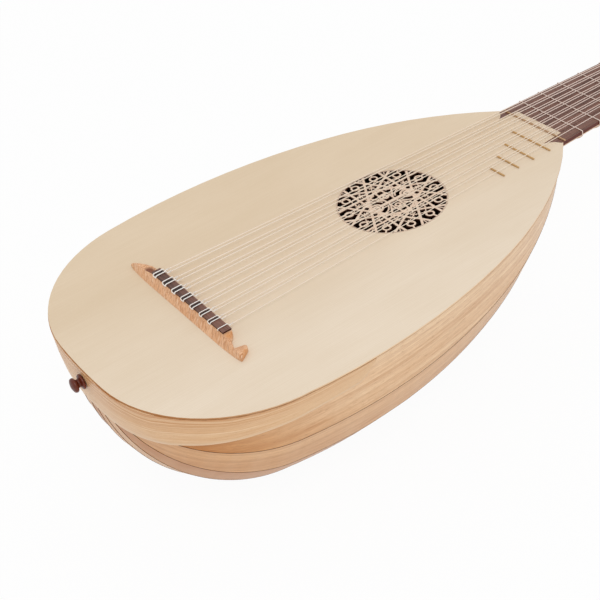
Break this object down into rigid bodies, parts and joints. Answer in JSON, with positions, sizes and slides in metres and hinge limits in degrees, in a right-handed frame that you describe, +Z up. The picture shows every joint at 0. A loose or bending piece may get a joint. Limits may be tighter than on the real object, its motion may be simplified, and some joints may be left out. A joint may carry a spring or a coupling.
{
  "type": "renaissance lute",
  "caption": "Renaissance lute lying on its ribbed bowl, with a pierced rose, tied frets, double courses and a bent-back pegbox with turning pegs.",
  "frame": {"origin": "middle of the flat stretch of the centre rib that the lute rests on, on its back", "axes": "+Z up, out of the soundboard; +Y along the strings from the tail to the neck; +X across, towards the thin treble strings"},
  "size_m": [0.3138, 0.7798, 0.1741],
  "materials": {
    "spruce": "oiled, fine straight grain",
    "rib_wood": "satin varnish",
    "strip_wood": "satin varnish, wavy grain",
    "neck_wood": "satin varnish",
    "dark_wood": "polished, dark brown",
    "fruitwood": "satin, reddish brown",
    "button_wood": "polished, dark reddish brown",
    "bone": "polished bone",
    "string": "translucent off-white nylgut"
  },
  "bodies": {
    "lute": {"soundboard": "spruce", "rose": "spruce", "rib_01": "rib_wood", "rib_02": "rib_wood", "rib_03": "rib_wood", "rib_04": "rib_wood", "rib_05": "rib_wood", "rib_06": "rib_wood", "rib_07": "rib_wood", "rib_08": "rib_wood", "rib_09": "rib_wood", "rib_10": "rib_wood", "rib_11": "rib_wood", "capping_strip": "strip_wood", "neck_block": "neck_wood", "soundboard_bar": "spruce", "bridge": "fruitwood", "bridge_cap": "dark_wood", "end_button": "button_wood", "neck": "neck_wood", "fingerboard": "dark_wood", "nut": "bone", "pegbox_cheek_bass": "neck_wood", "pegbox_cheek_treble": "neck_wood", "pegbox_back": "neck_wood", "body_fret_08": "neck_wood", "body_fret_09": "neck_wood", "body_fret_10": "neck_wood", "body_fret_11": "neck_wood", "body_fret_12": "neck_wood", "course_1": "string", "course_2": "string", "course_3": "string", "course_4": "string", "course_5": "string", "course_6": "string", "course_7": "string", "course_8": "string"},
    "peg_01": {"peg_01": "fruitwood"},
    "peg_02": {"peg_02": "fruitwood"},
    "peg_03": {"peg_03": "fruitwood"},
    "peg_04": {"peg_04": "fruitwood"},
    "peg_05": {"peg_05": "fruitwood"},
    "peg_06": {"peg_06": "fruitwood"},
    "peg_07": {"peg_07": "fruitwood"},
    "peg_08": {"peg_08": "fruitwood"},
    "peg_09": {"peg_09": "fruitwood"},
    "peg_10": {"peg_10": "fruitwood"},
    "peg_11": {"peg_11": "fruitwood"},
    "peg_12": {"peg_12": "fruitwood"},
    "peg_13": {"peg_13": "fruitwood"},
    "peg_14": {"peg_14": "fruitwood"},
    "peg_15": {"peg_15": "fruitwood"},
    "tied_fret_01": {"tied_fret_01": "string"},
    "tied_fret_02": {"tied_fret_02": "string"},
    "tied_fret_03": {"tied_fret_03": "string"},
    "tied_fret_04": {"tied_fret_04": "string"},
    "tied_fret_05": {"tied_fret_05": "string"},
    "tied_fret_06": {"tied_fret_06": "string"},
    "tied_fret_07": {"tied_fret_07": "string"}
  },
  "joints": [
    {"name": "turn_peg_01", "type": "hinge", "parent": "lute", "child": "peg_01", "pos_m": [0, 0.52755, 0.14983], "axis": [1, 0, 0], "continuous": true},
    {"name": "turn_peg_02", "type": "hinge", "parent": "lute", "child": "peg_02", "pos_m": [0, 0.52922, 0.14038], "axis": [1, 0, 0], "continuous": true},
    {"name": "turn_peg_03", "type": "hinge", "parent": "lute", "child": "peg_03", "pos_m": [0, 0.53088, 0.13093], "axis": [1, 0, 0], "continuous": true},
    {"name": "turn_peg_04", "type": "hinge", "parent": "lute", "child": "peg_04", "pos_m": [0, 0.53255, 0.12148], "axis": [1, 0, 0], "continuous": true},
    {"name": "turn_peg_05", "type": "hinge", "parent": "lute", "child": "peg_05", "pos_m": [0, 0.53421, 0.11204], "axis": [1, 0, 0], "continuous": true},
    {"name": "turn_peg_06", "type": "hinge", "parent": "lute", "child": "peg_06", "pos_m": [0, 0.53588, 0.10259], "axis": [1, 0, 0], "continuous": true},
    {"name": "turn_peg_07", "type": "hinge", "parent": "lute", "child": "peg_07", "pos_m": [0, 0.53755, 0.09314], "axis": [1, 0, 0], "continuous": true},
    {"name": "turn_peg_08", "type": "hinge", "parent": "lute", "child": "peg_08", "pos_m": [0, 0.53921, 0.08369], "axis": [1, 0, 0], "continuous": true},
    {"name": "turn_peg_09", "type": "hinge", "parent": "lute", "child": "peg_09", "pos_m": [0, 0.54088, 0.07424], "axis": [1, 0, 0], "continuous": true},
    {"name": "turn_peg_10", "type": "hinge", "parent": "lute", "child": "peg_10", "pos_m": [0, 0.54254, 0.0648], "axis": [1, 0, 0], "continuous": true},
    {"name": "turn_peg_11", "type": "hinge", "parent": "lute", "child": "peg_11", "pos_m": [0, 0.54421, 0.05535], "axis": [1, 0, 0], "continuous": true},
    {"name": "turn_peg_12", "type": "hinge", "parent": "lute", "child": "peg_12", "pos_m": [0, 0.54587, 0.0459], "axis": [1, 0, 0], "continuous": true},
    {"name": "turn_peg_13", "type": "hinge", "parent": "lute", "child": "peg_13", "pos_m": [0, 0.54754, 0.03645], "axis": [1, 0, 0], "continuous": true},
    {"name": "turn_peg_14", "type": "hinge", "parent": "lute", "child": "peg_14", "pos_m": [0, 0.54921, 0.027], "axis": [1, 0, 0], "continuous": true},
    {"name": "turn_peg_15", "type": "hinge", "parent": "lute", "child": "peg_15", "pos_m": [0, 0.55087, 0.01755], "axis": [1, 0, 0], "continuous": true},
    {"name": "slide_tied_fret_01", "type": "slide", "parent": "lute", "child": "tied_fret_01", "axis": [0, 1, 0], "range_m": [-0.003, 0.003]},
    {"name": "slide_tied_fret_02", "type": "slide", "parent": "lute", "child": "tied_fret_02", "axis": [0, 1, 0], "range_m": [-0.003, 0.003]},
    {"name": "slide_tied_fret_03", "type": "slide", "parent": "lute", "child": "tied_fret_03", "axis": [0, 1, 0], "range_m": [-0.003, 0.003]},
    {"name": "slide_tied_fret_04", "type": "slide", "parent": "lute", "child": "tied_fret_04", "axis": [0, 1, 0], "range_m": [-0.003, 0.003]},
    {"name": "slide_tied_fret_05", "type": "slide", "parent": "lute", "child": "tied_fret_05", "axis": [0, 1, 0], "range_m": [-0.003, 0.003]},
    {"name": "slide_tied_fret_06", "type": "slide", "parent": "lute", "child": "tied_fret_06", "axis": [0, 1, 0], "range_m": [-0.003, 0.003]},
    {"name": "slide_tied_fret_07", "type": "slide", "parent": "lute", "child": "tied_fret_07", "axis": [0, 1, 0], "range_m": [-0.003, 0.003]}
  ]
}
